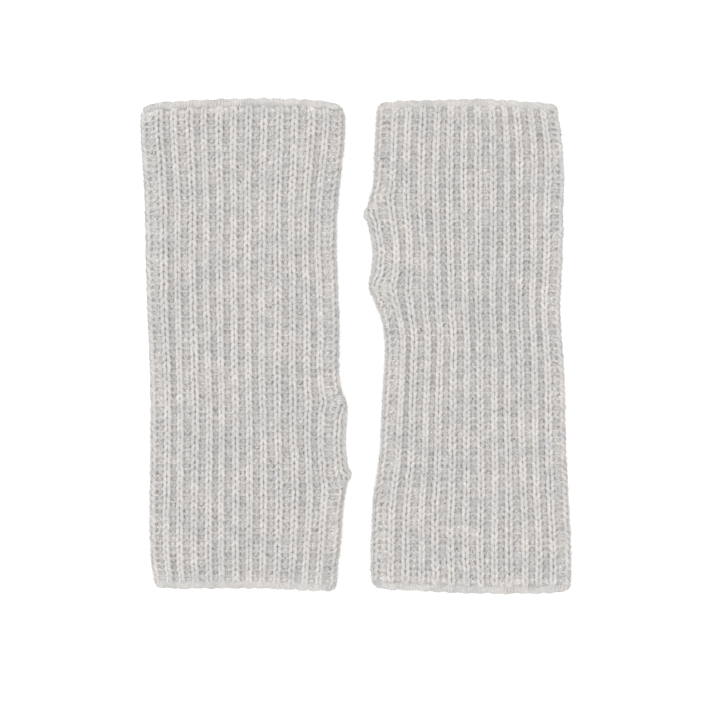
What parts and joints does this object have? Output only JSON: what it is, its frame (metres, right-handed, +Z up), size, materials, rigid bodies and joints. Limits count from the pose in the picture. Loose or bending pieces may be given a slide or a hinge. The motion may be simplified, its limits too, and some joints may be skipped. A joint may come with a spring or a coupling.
{
  "type": "fingerless gloves",
  "caption": "Rib-knit fingerless gloves, a pair of long wrist warmers with a thumb slit in each side seam, laid flat side by side and head to tail.",
  "frame": {"origin": "middle of the pair on the surface that it lies on", "axes": "+X across both gloves from the left one to the right one, +Y along them towards the fingers of the right glove, +Z up from the surface"},
  "size_m": [0.1961, 0.222, 0.01],
  "materials": {
    "rib_knit": "soft heathered light grey wool rib, matte with a fine halo of fibres",
    "chain_edge": "bound-off chain of the same heathered wool",
    "rolled_edge": "soft start-up edge of the same heathered wool",
    "selvedge": "selvedge band of the same heathered wool",
    "seam_yarn": "linking yarn of the same heathered wool"
  },
  "bodies": {
    "left_hand": {"left_hand_rib_knit": "rib_knit", "left_finger_bindoff_chain": "chain_edge", "left_thumb_slit_front_edge": "selvedge", "left_thumb_slit_back_edge": "selvedge", "left_thumb_slit_lower_tack": "seam_yarn", "left_thumb_slit_upper_tack": "seam_yarn", "left_palm_side_seam": "seam_yarn", "left_finger_side_seam": "seam_yarn"},
    "left_wrist": {"left_wrist_rib_knit": "rib_knit", "left_wrist_rolled_edge": "rolled_edge", "left_wrist_side_seam": "seam_yarn"},
    "right_hand": {"right_hand_rib_knit": "rib_knit", "right_finger_bindoff_chain": "chain_edge", "right_thumb_slit_front_edge": "selvedge", "right_thumb_slit_back_edge": "selvedge", "right_thumb_slit_lower_tack": "seam_yarn", "right_thumb_slit_upper_tack": "seam_yarn", "right_palm_side_seam": "seam_yarn", "right_finger_side_seam": "seam_yarn"},
    "right_wrist": {"right_wrist_rib_knit": "rib_knit", "right_wrist_rolled_edge": "rolled_edge", "right_wrist_side_seam": "seam_yarn"}
  },
  "joints": [
    {"name": "left_fold", "type": "hinge", "parent": "left_hand", "child": "left_wrist", "pos_m": [-0.051, 0, 0.0105], "axis": [1, 0, 0], "range_deg": [0, 178]},
    {"name": "right_glove_apart", "type": "slide", "parent": "left_hand", "child": "right_hand", "axis": [1, 0, 0], "range_m": [0, 0.15]},
    {"name": "right_fold", "type": "hinge", "parent": "right_hand", "child": "right_wrist", "pos_m": [0.0525, 0, 0.0105], "axis": [-1, 0, 0], "range_deg": [0, 178]}
  ]
}
